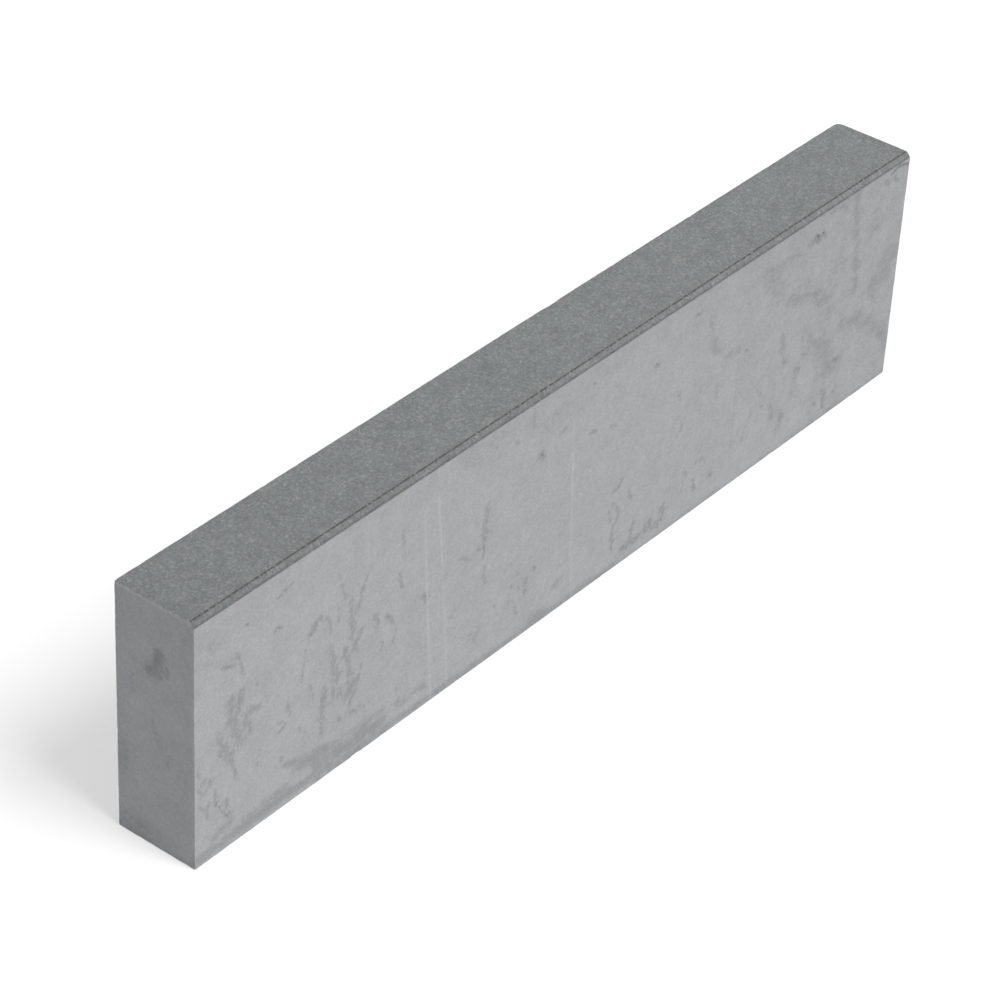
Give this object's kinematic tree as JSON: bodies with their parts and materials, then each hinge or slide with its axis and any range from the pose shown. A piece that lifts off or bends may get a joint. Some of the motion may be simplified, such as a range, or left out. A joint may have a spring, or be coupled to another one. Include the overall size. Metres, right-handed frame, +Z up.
{
  "type": "concrete kerb stone",
  "caption": "Straight cast concrete edging kerb of tall narrow rectangular section, chamfered along one top edge, stood on edge to border a path, lawn or paved area.",
  "frame": {"origin": "middle of the bed face, on the ground that the stone stands on", "axes": "+X along the stone's length, -Y out of the front face that has the chamfer, +Z up"},
  "size_m": [1, 0.085, 0.25],
  "materials": {
    "concrete": "matte"
  },
  "bodies": {
    "root": {"kerb_stone": "concrete"}
  },
  "joints": []
}
